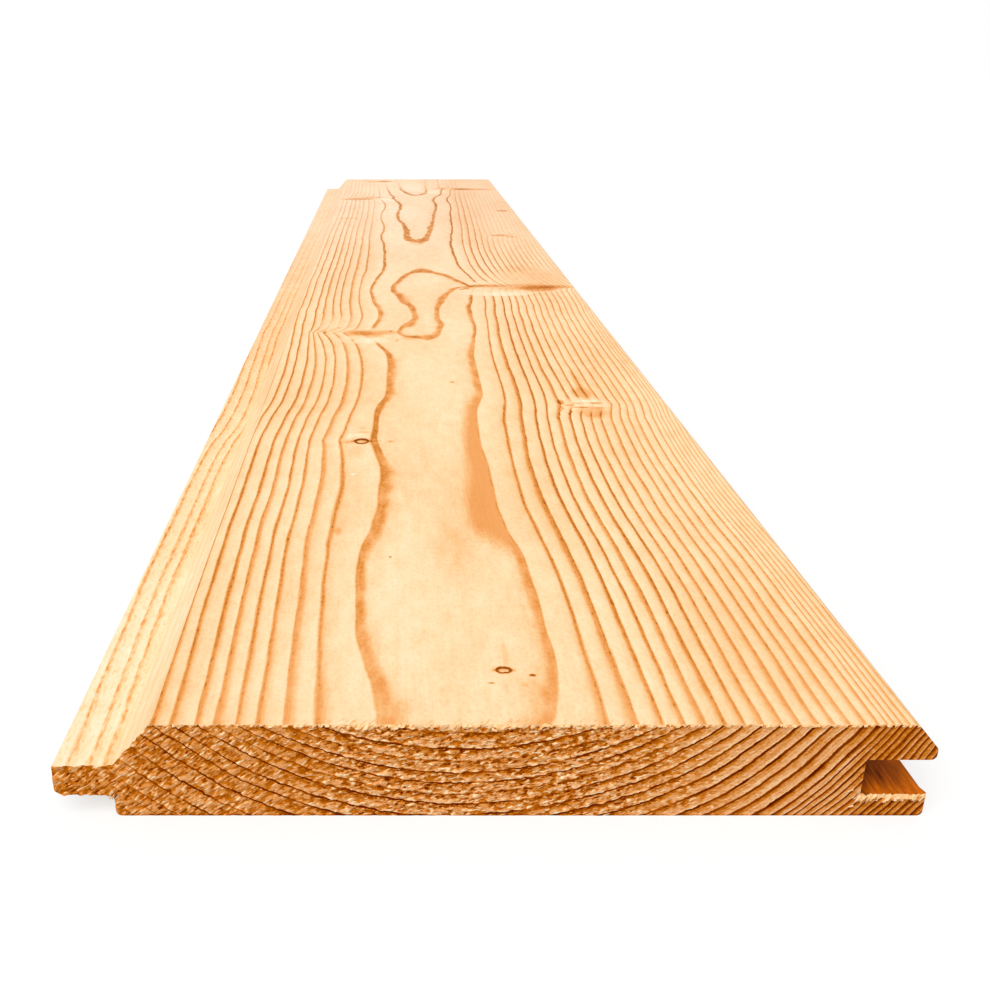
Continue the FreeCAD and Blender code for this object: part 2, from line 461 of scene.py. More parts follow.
def saw_tear(net, across, up):
    """The clumps of fibres that the saw tore."""
    return leaning_noise(net, across, up, 1.9, 0.80, 3.0, 2.0)


# How far the torn strands lean to the right for each millimetre up an end or along the face.
FRINGE_LEAN = 0.8


def fringe_reach(net, across, up, furthest):
    """How far the torn fringe hangs down an end from the edge above it."""
    leaning = net.math("MULTIPLY_ADD", up, -FRINGE_LEAN, across)
    ragged = net.noise(scaled(net, leaning, 2.0, up, 0.9, 1.0, 3.0), 2.0, 0.6)
    return net.step(ragged, 0.36, 0.66, 0.05, furthest)


def face_fringe(net, across, up):
    """The fringe along the edge of the face, longest in the middle."""
    middle = net.times(net.step(across, -40.0, -24.0), net.step(across, 5.0, 30.0, 1.0, 0.3))
    return fringe_reach(net, across, up, net.blend(middle, 0.40, 1.3))


def lip_fringe_reach(net, across, up):
    """The fringe along the edge of the groove's lower lip."""
    return fringe_reach(net, across, up, 1.4)


def lip_share(net, across):
    """One along the groove's lower lip, nothing elsewhere."""
    return net.step(across, GROOVE_WALL / MM - 1.0, GROOVE_WALL / MM + 0.5)


def torn_share(net, across):
    """How much of an end is torn. The right was cut cleaner than the left and the middle."""
    return net.step(across, 10.0, 52.0, 1.0, 0.10)


# The saw's relief, pressed into both ends.
relief = bpy.data.node_groups.new("saw_relief", "GeometryNodeTree")
relief.interface.new_socket("Board", in_out="INPUT", socket_type="NodeSocketGeometry")
relief.interface.new_socket("Board", in_out="OUTPUT", socket_type="NodeSocketGeometry")
net = Net(relief)
start = relief.nodes.new("NodeGroupInput")
finish = relief.nodes.new("NodeGroupOutput")
across, along, up = net.along_board(relief.nodes.new("GeometryNodeInputPosition").outputs[0])
tear = net.times(net.minus(saw_tear(net, across, up), 0.5), torn_share(net, across))
height = net.times(tear, net.step(up, 0.2, 1.2, 0.3, 1.4))
on_lip = lip_share(net, across)
for below, reach, share in (
    (net.minus(THICKNESS_MM, up), face_fringe(net, across, up), 0.3),
    (net.minus(GROOVE_FLOOR / MM, up), lip_fringe_reach(net, across, up), net.times(on_lip, 0.5)),
):
    tip = net.times(reach, 0.8)
    under = net.step(below, tip, net.times(tip, 1.6), 1.0, 0.0)
    height = net.plus(height, net.times(net.step(below, 0.0, tip), under), share)
near_share = net.step(along, 0.0, RELIEF_DEPTH / MM, 1.0, 0.0)
far_share = net.step(along, LENGTH_MM - RELIEF_DEPTH / MM, LENGTH_MM, 0.0, 1.0)
outwards = net.minus(far_share, near_share)
push = net.times(net.times(height, outwards), MM)

# The fibres also stand up unevenly along the edges of the face, the tongue and its bevel, and most
# along the groove's lower lip.
BEVEL_TEAR = 1.4
ragged = net.minus(net.noise(scaled(net, across, 7.0, along, 0.9, 1.0, 200.0), 2.0, 0.6), 0.5)
at_end = net.math("ADD", near_share, far_share)
lift = net.times(ragged, net.step(up, THICKNESS_MM - 0.7, THICKNESS_MM))
above_lip = net.math("ABSOLUTE", net.minus(up, GROOVE_FLOOR / MM))
at_lip = net.times(on_lip, net.step(above_lip, 0.1, 0.5, 1.0, 0.0))
lift = net.plus(lift, at_lip, net.plus(0.35, ragged, 2.0))
below_tongue_top = net.minus(TONGUE_TOP / MM, up)
at_tongue = net.step(across, SHOULDER / MM - 0.5, SHOULDER / MM + 0.5, 1.0, 0.0)
at_tongue = net.times(at_tongue, net.step(below_tongue_top, 0.0, 0.6, 1.0, 0.0))
lift = net.plus(lift, at_tongue, ragged)
off_bevel = net.times(net.minus(across, SHOULDER / MM), math.sin(BEVEL_ANGLE))
off_bevel = net.math("MULTIPLY_ADD", below_tongue_top, math.cos(BEVEL_ANGLE), off_bevel)
at_bevel = net.step(off_bevel, 0.0, 0.8, 1.0, 0.0)
at_bevel = net.times(at_bevel, net.step(below_tongue_top, -0.6, 0.0, 1.0, 0.0))
torn_bevel = net.times(ragged, at_bevel)
lift = net.plus(lift, torn_bevel, BEVEL_TEAR * math.cos(BEVEL_ANGLE))
lift = net.times(net.times(lift, at_end), MM)
sideways = net.times(net.times(torn_bevel, at_end), -BEVEL_TEAR * math.sin(BEVEL_ANGLE) * MM)
offset = net.join(sideways, push, lift)
moved = net.node("GeometryNodeSetPosition", {0: start.outputs[0], 3: offset})
relief.links.new(moved, finish.inputs[0])

bpy.ops.object.select_all(action="DESELECT")
board.select_set(True)
bpy.context.view_layer.objects.active = board
board.modifiers.new("saw_relief", "NODES").node_group = relief
bpy.ops.object.modifier_apply(modifier="saw_relief")


def new_finish(name):
    """An empty material with its shader, and the place on the board that its patterns read."""
    material = bpy.data.materials.new(name)
    material.use_nodes = True
    net = Net(material.node_tree)
    shader = material.node_tree.nodes["Principled BSDF"]
    place = material.node_tree.nodes.new("ShaderNodeTexCoord").outputs["Object"]
    return material, net, shader, net.along_board(place)


def set_surface(net, shader, colour, rough, sheen):
    """Give a shader its colour, its roughness and its sheen."""
    net.tree.links.new(colour, shader.inputs["Base Color"])
    shader.inputs["Roughness"].default_value = rough
    shader.inputs["Specular IOR Level"].default_value = sheen


def add_bump(net, shader, height, strength, distance):
    """Let a pattern of heights roughen a surface."""
    values = {"Strength": strength, "Distance": distance, "Height": height}
    net.tree.links.new(net.node("ShaderNodeBump", values), shader.inputs["Normal"])


# The planed sides. Every place gets a tone, which grows darker as each ring ripens to late wood and
# falls back at the ring's edge. Fibres, pores and branches add to it. Last, it becomes a colour.
planed, net, shader, (across, along, up) = new_finish("planed_softwood")
face_across = on_face(net, across, up)
fibre = net.noise(scaled(net, across, along, up, 0.5, 14.0, 0.5), 3.0, 0.6)
cloud = net.noise(scaled(net, across, along, up, 22.0, 70.0, 22.0))
blush = net.noise(scaled(net, across, along, up, 3.0, 8.0, 3.0))
stipple = net.noise(scaled(net, across, along, up, 0.7, 1.1, 0.7), 3.0, 0.65)
dash = net.noise(scaled(net, across, along, up, 0.34, 2.2, 0.34), 1.0)
grown = ring_number(net, across, along, up)
ring = net.spread(grown, fibre, net.step(grown, 0.2, 1.5, 0.03, 0.16))
ring = net.spread(ring, blush, net.step(grown, 0.1, 0.5, 0.04, 0.0))
ripeness = net.math("FRACT", ring)

# Each ring's own lot: how wide and how dark its late wood is.
lot = net.node("ShaderNodeTexWhiteNoise", {"W": net.math("FLOOR", ring)}, noise_dimensions="1D")
near_end = net.step(along, 0.0, 60.0, 1.0, 0.0)
inside = net.step(ring, 0.1, 0.5, 1.0, 0.0)

# Late wood: a narrow dark core at the ring's edge, and a soft halo before it. The list gives a
# ring's number, and how ripe it is where its late wood begins.
LATE_FROM = [(-2, 0.78), (0.05, 0.76), (0.4, 0.82), (1.05, 0.82), (1.4, 0.70), (18, 0.68)]
late_from = net.spread(net.curve(ring, LATE_FROM), lot, net.blend(inside, 0.14, 0.0))
late_from = net.plus(late_from, net.times(inside, net.step(along, 330.0, 450.0)), 0.13)
late_from = net.plus(late_from, net.step(along, 60.0, 200.0), net.blend(inside, 0.05, 0.0))

# On the left, the line beside the pin knot and beside the branch is narrower and darker.
beside_knot = net.times(net.step(along, 120.0, 137.0), net.step(along, 160.0, 185.0, 1.0, 0.0))
beside_branch = net.times(net.step(along, 230.0, 248.0), net.step(along, 256.0, 264.0, 1.0, 0.0))
beside_knot = net.math("MAXIMUM", beside_knot, beside_branch)
beside_knot = net.times(beside_knot, net.step(across, -14.0, -8.0, 1.0, 0.0))
beside_knot = net.times(inside, beside_knot)
late_from = net.plus(late_from, beside_knot, 0.14)

core = net.step(ripeness, late_from, net.blend(inside, 0.99, 0.92))
edge = net.step(ripeness, 0.0, net.blend(inside, 0.12, 0.07), 1.0, 0.0)
core = net.math("MAXIMUM", core, edge)
halo = net.step(ripeness, net.minus(late_from, 0.22), net.blend(near_end, 1.0, 0.92))
halo = net.math("MAXIMUM", halo, edge)

# How strongly the late wood shows, by the place across the face.
STRENGTH_ACROSS = [
    (-60, 1.0), (-48, 1.08), (-41, 0.87), (-35, 0.74), (-29, 0.92), (3, 1.0), (8, 0.80),
    (13, 0.85), (18, 1.15), (34, 1.25), (40, 1.05), (44, 0.80), (60, 0.70), (70, 0.5),
]
strength = net.times(net.plus(0.75, lot, 0.50), net.plus(0.6, stipple, 0.8))
strength = net.times(strength, net.curve(face_across, STRENGTH_ACROSS))
strength = net.times(strength, net.step(along, -10.0, 60.0, 0.10, 0.29))
strength = net.times(strength, net.step(along, 250.0, 500.0, 1.0, net.blend(inside, 1.1, 1.4)))
late = net.plus(net.times(core, strength), halo, net.blend(near_end, 0.06, 0.13))
late = net.plus(late, net.times(core, beside_knot), 0.10)

# The broad lines that edge the middle of the face are blotchy.
blotch = net.noise(scaled(net, across, along, up, 3.0, 8.0, 3.0), 1.0)
late = net.times(late, net.blend(inside, 1.0, net.step(blotch, 0.32, 0.66, 0.84, 1.16)))

# The rings fade towards the far end and along both sides there. On the bevel, which is burnished,
# they hardly show.
on_tongue = net.step(across, SHOULDER / MM - 0.3, SHOULDER / MM + 0.3, 1.0, 0.0)
on_bevel = net.step(across, BEVEL_HEAD / MM - 1.4, BEVEL_HEAD / MM - 0.2, 1.0, 0.0)
on_bevel = net.times(net.minus(on_bevel, on_tongue), net.step(up, 9.0, 9.8))
freckle = net.noise(scaled(net, across, along, up, 0.55, 3.2, 0.55), 2.0, 0.6)
at_left = net.times(net.step(face_across, -60.0, -46.0, 1.0, 0.0), net.step(along, 250.0, 450.0))
late = net.times(late, net.plus(1.0, at_left, -0.6))
far_left = net.times(net.step(face_across, -26.0, -16.0, 1.0, 0.0), net.step(along, 420.0, 600.0))
late = net.times(late, net.plus(1.0, far_left, -0.45))
far_right = net.times(net.step(face_across, 12.0, 50.0), net.step(along, 400.0, 540.0))
late = net.times(late, net.plus(1.0, far_right, -0.75))
outer_fade = net.step(along, 680.0, 770.0, 1.0, 0.5)
inner_fade = net.step(along, 752.0, 800.0, 1.0, 0.25)
late = net.times(late, net.blend(inside, outer_fade, inner_fade))
late = net.times(late, net.plus(1.0, on_bevel, -0.88))
late = net.times(late, net.blend(on_tongue, 1.0, net.step(freckle, 0.40, 0.60, 0.35, 0.85)))


def mark(net, place, across_at, along_at, half_across, half_along, solid=0.4):
    """A soft oval on the face: one in its solid middle, nothing beyond its edge."""
    middle = {0: place, 1: (across_at, along_at, 0)}
    shifted = net.node("ShaderNodeVectorMath", middle, operation="SUBTRACT")
    shares = {0: shifted, 1: (1 / half_across, 1 / half_along, 0)}
    sized = net.node("ShaderNodeVectorMath", shares, operation="MULTIPLY")
    reach = net.node("ShaderNodeVectorMath", {0: sized}, output=1, operation="LENGTH")
    return net.step(reach, solid, 1.0, 1.0, 0.0)


# Clear wood beside the branches, where hardly any rings show: place across and along, half sizes,
# and for some, how much of the oval is solid.
soft_place = net.join(net.spread(face_across, fibre, 1.0), net.spread(along, stipple, 2.5), 0.0)
CLEAR = [
    (31.0, 353.5, 21.0, 12.0, 0.8), (-27.0, 261.5, 13.0, 8.5, 0.6),
    (44.5, 176.5, 8.0, 9.5, 0.65), (-26.7, 115.2, 0.9, 1.3), (58.0, 396.0, 15.0, 34.0),
    (46.0, 386.0, 20.0, 30.0, 0.3), (-39.0, 287.0, 12.0, 24.0, 0.1),
    (53.0, 360.0, 13.0, 10.0, 0.6), (27.0, 371.5, 7.0, 8.0, 0.6), (-26.5, 274.0, 8.0, 8.0, 0.5),
]
clear = 0.0
for oval in CLEAR:
    clear = net.math("MAXIMUM", mark(net, soft_place, *oval), clear)
late = net.times(late, net.plus(1.0, clear, -0.85))

# The tone itself: clouds, fibres and pores, then the late wood.
tone = net.plus(0.10, net.step(cloud, 0.30, 0.70), 0.05)
tone = net.spread(tone, blush, 0.13)
tone = net.spread(tone, fibre, net.plus(0.06, on_bevel, -0.05))
tone = net.plus(tone, net.step(stipple, 0.42, 0.72), 0.05)
tone = net.plus(tone, net.times(net.step(ripeness, 0.05, 0.70), net.minus(1.0, inside)), 0.03)
off_face = net.math("MAXIMUM", on_tongue, on_bevel)
tone = net.plus(tone, off_face, net.step(along, 0.0, 300.0, -0.07, 0.02))
tone = net.plus(tone, clear, -0.015)
far_shift = net.step(face_across, -10.0, 30.0, -0.02, 0.045)
tone = net.plus(tone, net.step(along, 420.0, 600.0), far_shift)
tone = net.math("ADD", tone, late)
dashed = net.times(net.step(dash, 0.58, 0.70), net.step(late, 0.15, 0.32))
dashed = net.times(dashed, net.plus(1.0, inside, -0.85))
tone = net.plus(tone, dashed, net.blend(on_tongue, 0.20, 0.05))
tone = net.plus(tone, net.times(net.step(freckle, 0.54, 0.68), on_tongue), 0.09)

# Small notches in the face at the near end, where the saw tore slivers away. They are painted
# darker: partly the torn wood's own colour, partly painted shade in the hollows.
slanting = net.math("MULTIPLY_ADD", along, -FRINGE_LEAN, across)
notch = net.noise(scaled(net, slanting, along, 3.0, 0.45, 2.5, 1.0), 1.0)
notch = net.times(net.step(notch, 0.58, 0.70), net.step(along, 0.4, 2.2, 1.0, 0.0))
notch = net.times(notch, net.step(across, -50.0, -25.0, 0.2, 1.0))
tone = net.plus(tone, net.times(notch, net.step(across, 10.0, 35.0, 1.0, 0.3)), 0.20)

# Late wood laid bare in one broad patch where the plane just grazed it.
patch_edge = net.curve(along, [(60, 4.0), (80, 2.0), (94, 1.8), (111, 3.4), (151, 4.7), (198, 9.5)])
patch = net.step(net.minus(net.spread(face_across, fibre, 1.6), patch_edge), -2.4, 1.8)
patch = net.times(patch, net.math("LESS_THAN", ring, 0.0))
patch_start = net.plus(net.spread(along, stipple, 6.0), face_across, 1.2)
patch = net.times(patch, net.step(patch_start, 73.0, 87.0))
patch = net.times(patch, net.step(along, 140.0, 205.0, 1.0, 0.0))
patch = net.times(patch, net.step(face_across, 14.0, 16.0, 1.0, 0.0))
tone = net.blend(patch, tone, net.spread(net.spread(0.38, fibre, 0.08), stipple, 0.12))
tone = net.plus(tone, mark(net, soft_place, 0.0, 92.0, 9.0, 40.0, 0.1), 0.025)
tone = net.plus(tone, mark(net, soft_place, -3.5, 68.0, 9.0, 22.0, 0.1), 0.06)

# Small branches cut along their length, and stains: place across and along, half sizes, and how
# much darker the wood is there. Below nothing, it is paler.
STAINS = [
    (46.0, 365.0, 28.0, 8.5, 0.13), (52.0, 360.5, 12.0, 9.5, 0.27),
    (61.0, 364.5, 10.0, 5.0, 0.14), (38.0, 358.5, 7.0, 5.0, 0.07),
    (27.0, 367.5, 11.0, 4.5, 0.16), (19.0, 362.5, 5.0, 6.0, 0.08),
    (52.0, 392.0, 24.0, 38.0, 0.09), (31.0, 348.0, 19.0, 6.0, -0.06),
    (-27.0, 272.0, 11.0, 7.5, 0.13), (-28.0, 272.0, 6.5, 4.5, 0.20),
    (-23.5, 268.0, 5.0, 5.0, 0.10), (-24.0, 259.0, 9.0, 6.0, -0.05),
    (-9.0, 264.0, 5.0, 4.5, 0.12), (-18.0, 273.0, 6.0, 5.0, 0.11),
    (44.6, 168.5, 6.0, 8.0, 0.15), (44.5, 189.0, 4.2, 9.0, 0.17),
    (45.2, 202.0, 1.8, 16.0, 0.10), (-27.0, 831.0, 16.0, 8.0, 0.14),
    (-22.0, 833.0, 8.0, 6.0, 0.24), (50.0, 771.0, 22.0, 10.0, 0.14),
    (40.0, 774.0, 11.0, 7.0, 0.22), (24.0, 778.0, 10.0, 7.0, 0.10),
    (-42.0, 706.0, 17.0, 8.0, 0.20), (-30.0, 716.0, 12.0, 8.0, 0.12),
    (61.0, 638.0, 7.0, 5.0, 0.14), (61.5, 638.0, 4.0, 2.6, 0.22), (49.0, 524.5, 7.0, 5.0, 0.20),
    (55.0, 519.0, 5.0, 5.0, 0.10), (-45.0, 600.0, 10.0, 5.0, 0.10),
    (18.0, 754.0, 15.0, 16.0, -0.06), (-20.0, 700.0, 11.0, 16.0, -0.05),
    (0.0, 790.0, 14.0, 45.0, -0.05), (3.8, 23.0, 0.9, 6.0, 0.07), (3.0, 11.0, 0.8, 3.5, 0.04),
    (6.2, 12.4, 0.9, 1.0, 0.07), (-26.0, 133.0, 3.2, 7.0, 0.05), (-28.9, 78.3, 1.3, 3.0, 0.12),
]
for *oval, darker in STAINS:
    tone = net.plus(tone, mark(net, soft_place, *oval), darker)

# Fine flecks and slits beside the branches, given in the same way, with cleaner edges.
fine_place = net.join(net.spread(face_across, fibre, 0.25), net.spread(along, stipple, 0.5), 0.0)
FLECKS = [
    (44.6, 180.3, 5.2, 1.2, -0.09), (43.6, 176.0, 5.5, 0.9, -0.03),
    (48.0, 174.9, 2.6, 0.6, -0.07), (47.3, 178.1, 2.6, 0.9, 0.32),
    (41.4, 177.9, 2.2, 0.8, 0.20), (41.8, 173.6, 3.8, 0.8, 0.30), (47.4, 173.0, 2.8, 0.9, 0.20),
    (36.3, 179.0, 1.5, 3.6, 0.30), (38.6, 175.8, 2.3, 1.6, 0.18), (35.9, 173.0, 0.7, 2.6, 0.24),
    (35.2, 170.6, 0.5, 1.8, 0.26), (34.3, 167.0, 0.5, 2.4, 0.22), (33.5, 162.6, 0.6, 1.6, 0.18),
    (38.2, 169.0, 0.6, 1.3, 0.42), (37.4, 167.0, 0.5, 1.6, 0.26), (16.0, 358.8, 2.0, 2.2, 0.24),
    (18.4, 361.5, 2.0, 2.8, 0.26), (20.6, 364.6, 2.0, 2.6, 0.26), (22.2, 366.8, 2.2, 2.6, 0.22),
    (26.0, 367.4, 4.5, 2.4, 0.14), (-28.6, 146.0, 1.3, 3.0, -0.09),
    (-26.5, 147.2, 2.6, 1.5, -0.05), (-24.6, 149.5, 2.8, 0.9, 0.14),
    (-24.9, 153.0, 1.6, 2.0, 0.06), (-29.0, 140.8, 2.4, 2.0, 0.11),
    (-20.6, 141.6, 1.7, 1.2, 0.08), (-17.0, 141.2, 1.2, 1.1, 0.14), (8.0, 15.3, 0.8, 0.6, 0.55),
    (0.6, 12.7, 0.8, 0.35, 0.42), (-14.5, 259.8, 0.9, 2.4, 0.14),
    (-31.4, 259.8, 0.9, 3.0, 0.16), (-42.8, 273.0, 1.0, 3.0, 0.26),
    (-37.6, 280.6, 1.2, 1.8, 0.16), (-17.0, 274.5, 0.9, 2.2, 0.20),
    (3.5, 202.0, 1.0, 1.0, 0.30), (-17.0, 64.3, 0.45, 0.6, 0.35),
    (-26.7, 115.2, 1.0, 1.1, -0.12), (-27.5, 141.3, 0.9, 0.9, 0.22),
    (-22.6, 141.5, 1.0, 1.0, 0.22), (1.6, 17.1, 0.8, 0.7, 0.16), (4.7, 17.0, 0.8, 0.7, 0.14),
]
for *oval, darker in FLECKS:
    tone = net.plus(tone, mark(net, fine_place, *oval), darker)

# Two dead pin knots, each a dark rim round paler wood: place across and along, half sizes, and the
# rim's tone.
knot_place = net.join(net.spread(face_across, stipple, 0.9), net.spread(along, freckle, 0.9), 0.0)
PIN_KNOTS = [(-25.1, 141.5, 2.4, 2.75, 0.88), (3.1, 17.1, 1.65, 1.4, 0.80)]
for across_at, along_at, half_across, half_along, rim in PIN_KNOTS:
    around = mark(net, knot_place, across_at, along_at, half_across * 1.6, half_along * 1.5, 0.3)
    tone = net.plus(tone, around, 0.10)
    knot = mark(net, knot_place, across_at, along_at, half_across, half_along, 0.80)
    tone = net.blend(knot, tone, net.spread(rim, stipple, 0.6))
    inner_along = along_at - half_along * 0.12
    far_side = net.step(along, along_at - half_along * 0.4, along_at + half_along * 0.5)
    inner_tone = net.plus(net.spread(0.22, stipple, 0.3), far_side, 0.20)
    inner = mark(
        net, knot_place, across_at, inner_along, half_across * 0.72, half_along * 0.54, 0.6
    )
    tone = net.blend(inner, tone, inner_tone)

# The groove's painted shade: its floor and walls are painted a rough brown near the ends, for the
# shadow that falls into the groove, and darkest by its inner wall.
into_groove = net.minus(across, GROOVE_WALL / MM)
groove_height = net.math("ABSOLUTE", net.minus(up, (GROOVE_FLOOR + GROOVE_TOP) / 2 / MM))
in_groove = net.times(net.step(into_groove, -1.0, 0.0), net.step(groove_height, 3.7, 3.8, 1.0, 0.0))
from_end = net.math("MINIMUM", along, net.minus(LENGTH_MM, along))
groove_streaks = net.noise(scaled(net, across, along, up, 0.6, 6.0, 0.6), 3.0, 0.6)
# Painted shade: darker from a few millimetres in from the end, and darkest close to the inner wall.
groove_shade = net.times(net.step(from_end, 1.0, 6.0), net.step(into_groove, 4.0, 10.0, 1.0, 0.0))
groove_shade = net.plus(net.times(groove_shade, 0.45), net.step(into_groove, 0.3, 2.4, 1.0, 0.0), 0.5)
groove_shade = net.spread(net.math("ADD", groove_shade, 0.25), groove_streaks, 1.7)
groove_shade_colour = net.tint(groove_shade, paint(236, 122, 0), paint(102, 30, 0))
groove_shade_share = net.times(in_groove, net.step(from_end, 14.0, 80.0, 1.0, 0.3))
wood = net.tint(
    net.step(along, 150.0, 700.0),
    net.wood_colour(tone, PLANED_TONES),
    net.wood_colour(tone, FAR_TONES),
)
# The painted groove shade goes over the wood's own colour.
colour = net.tint(groove_shade_share, wood, groove_shade_colour)

set_surface(net, shader, colour, rough=0.62, sheen=0.06)
grain_height = net.times(net.math("ADD", fibre, stipple), net.plus(1.0, on_bevel, -0.8))
add_bump(net, shader, grain_height, strength=0.35, distance=0.1 * MM)

# The sawn ends: browner, because the cut tubes of the wood swallow light. The left and the middle
# are torn to pink tufts, with bright hairs that carry painted highlights, and dark pits of painted
# shade between them. The right was cut cleaner.
sawn, net, shader, (across, along, up) = new_finish("sawn_end_grain")
speck = net.noise(scaled(net, across, 9.0, up, 0.50, 1.0, 0.40), 2.0, 0.65)
waver = net.noise(scaled(net, across, 1.0, up, 1.6, 1.0, 1.1))
ring = net.spread(net.spread(ring_number(net, across, along, up), waver, 0.16), speck, 0.05)
ripeness = net.math("FRACT", ring)
number = net.math("FLOOR", ring)
lot = net.node("ShaderNodeTexWhiteNoise", {"W": number}, noise_dimensions="1D")
streak = net.noise(net.join(net.times(ring, 7.0), net.times(across, 1 / 7), 2.0), 2.0, 0.6)
mottle = net.noise(scaled(net, across, 4.0, up, 3.0, 1.0, 1.5))
tear = saw_tear(net, across, up)
stroke = leaning_noise(net, across, up, 1.6, 0.46, 6.0, 2.0, 0.6)
hair_highlights = leaning_noise(net, across, up, 1.5, 0.38, 11.0, 1.0)
band = net.noise(net.join(net.times(ring, 1.3), net.times(across, 1 / 5), 8.0))
from_left = middle_share(net, across)
torn = net.step(band, 0.35, 0.6, net.blend(from_left, 1.0, 0.6), 1.2)
torn = net.node("ShaderNodeClamp", {0: net.times(torn_share(net, across), torn)})
lively = net.step(across, -45.0, -15.0, 0.9, 1.2)
ragged_tear = net.spread(net.spread(net.spread(tear, mottle, 0.35), stroke, 0.50), speck, 0.30)
tuft = net.step(ragged_tear, 0.45, 0.55)
rough_tone = net.blend(tuft, net.blend(from_left, 0.66, 0.70), net.blend(from_left, 0.43, 0.36))
rough_tone = net.spread(rough_tone, speck, net.times(lively, 0.45))
# Painted highlights on the hairs, and painted shade in the pits between the tufts.
rough_tone = net.plus(rough_tone, net.step(hair_highlights, 0.55, 0.66), net.times(lively, -0.45))
rough_tone = net.plus(rough_tone, net.step(stroke, 0.34, 0.44, 1.0, 0.0), 0.27)
rough_tone = net.spread(rough_tone, leaning_noise(net, across, up, 7.0, 3.0, 15.0, 1.0), 0.36)
clean_tone = net.spread(net.spread(net.spread(0.34, streak, 0.80), speck, 0.60), mottle, 0.35)
tone = net.blend(torn, clean_tone, rough_tone)
tone = net.plus(tone, net.step(across, 57.0, 63.0), 0.19)
tone = net.plus(tone, net.step(across, -66.0, -60.0, 1.0, 0.0), 0.05)
# Painted shade along the lowest half millimetre of the end, next to the floor.
tone = net.plus(tone, net.step(up, 0.0, 0.5, 1.0, 0.0), 0.20)

# Each ring begins brown, grows pale and ends in a dark line, with a painted highlight here and
# there on its inner side. Where the end is torn, the lines are thin, and some are deeper than
# others. On the tongue they are faint.
browner = net.times(net.step(ripeness, 0.0, 0.55, 1.0, 0.0), net.step(band, 0.36, 0.62, 1.5, 0.4))
tone = net.plus(tone, browner, net.blend(torn, 0.26, net.blend(from_left, 0.05, 0.20)))
paler = net.blend(torn, -0.08, net.blend(from_left, -0.03, -0.07))
tone = net.plus(tone, net.step(ripeness, 0.45, 0.85), paler)
line_from = net.blend(torn, net.step(ring, 5.0, 17.0, 0.87, 0.74), net.blend(from_left, 0.90, 0.87))
line = net.step(ripeness, line_from, net.math("ADD", line_from, 0.05))
line = net.math("MAXIMUM", line, net.step(ripeness, 0.0, net.blend(torn, 0.09, 0.06), 1.0, 0.0))
glint = net.noise(net.join(net.times(number, 3.7), net.times(across, 1 / 5), 5.0))
depth = net.times(net.step(lot, 0.15, 0.55, 0.5, 1.0), net.step(glint, 0.35, 0.55, 0.5, 1.0))
depth = net.times(depth, net.step(across, -66.0, -50.0, 0.25, 1.0))
depth = net.blend(torn, net.math("MAXIMUM", depth, 0.90), depth)
# A painted highlight along the inner side of some ring lines.
line_highlight = net.step(ripeness, net.minus(line_from, 0.16), line_from)
line_highlight = net.times(line_highlight, net.step(glint, 0.42, 0.58))
tone = net.plus(tone, line_highlight, net.blend(torn, -0.10, net.blend(from_left, -0.03, -0.16)))
tone = net.blend(net.times(line, depth), tone, 1.0)

# A pale ragged fringe hangs over the upper edge, and over the edge of the groove's lower lip.
reach = face_fringe(net, across, up)
fringe = net.step(net.minus(THICKNESS_MM, up), net.times(reach, 0.6), reach, 1.0, 0.0)
below_groove = net.minus(GROOVE_FLOOR / MM, up)
lip_reach = lip_fringe_reach(net, across, up)
lip_fringe = net.step(below_groove, net.times(lip_reach, 0.6), lip_reach, 1.0, 0.0)
lip_fringe = net.times(lip_fringe, net.math("GREATER_THAN", below_groove, -1.4))
lip_fringe = net.times(lip_fringe, lip_share(net, across))
leaning = net.math("MULTIPLY_ADD", up, -FRINGE_LEAN, across)
strand = net.noise(scaled(net, leaning, 5.0, up, 0.40, 1.0, 3.0), 1.0)
fringe_tone = net.spread(net.spread(0.22, speck, 0.4), strand, 0.7)
fringe_colour = net.wood_colour(net.math("MAXIMUM", fringe_tone, 0.13), PLANED_TONES)
fringe = net.math("MAXIMUM", fringe, lip_fringe)
colour = net.tint(fringe, net.wood_colour(tone, SAWN_TONES), fringe_colour)

set_surface(net, shader, colour, rough=0.9, sheen=0.0)
rough_height = net.math("ADD", stroke, net.times(speck, 0.6))
add_bump(net, shader, rough_height, strength=0.25, distance=0.2 * MM)

# The sawn finish goes on the faces near an end that look along the board.
board.data.materials.append(planed)
board.data.materials.append(sawn)
bpy.ops.object.mode_set(mode="EDIT")
END_SKIN = 1.2 * MM
SAWN_FACING = 0.35
mesh = bmesh.from_edit_mesh(board.data)
for face in mesh.faces:
    middle = face.calc_center_median()
    at_end = middle.y < NEAR + END_SKIN or middle.y > FAR - END_SKIN
    face.material_index = 1 if at_end and abs(face.normal.y) > SAWN_FACING else 0
bmesh.update_edit_mesh(board.data)
bpy.ops.object.mode_set(mode="OBJECT")
bpy.ops.object.shade_smooth_by_angle(angle=math.radians(40))

# Torn fibres stand out along the edges where the saw came through: pale slivers, each a thin
# pointed cone.
torn_fibre, net, shader, (across, along, up) = new_finish("torn_fibre")
shade = net.noise(scaled(net, across, along, up, 0.8, 0.8, 0.8), 1.0)
shade = net.math("MAXIMUM", net.spread(0.20, shade, 0.5), 0.13)
set_surface(net, shader, net.wood_colour(shade, PLANED_TONES), rough=0.8, sheen=0.0)

luck = random.Random(11)
FIBRE_SIDES, FIBRE_TIP = 5, 0.01 * MM
CURL_SIDES, CURL_TIP, CURL_PROUD = 6, 0.03 * MM, 0.25 * MM


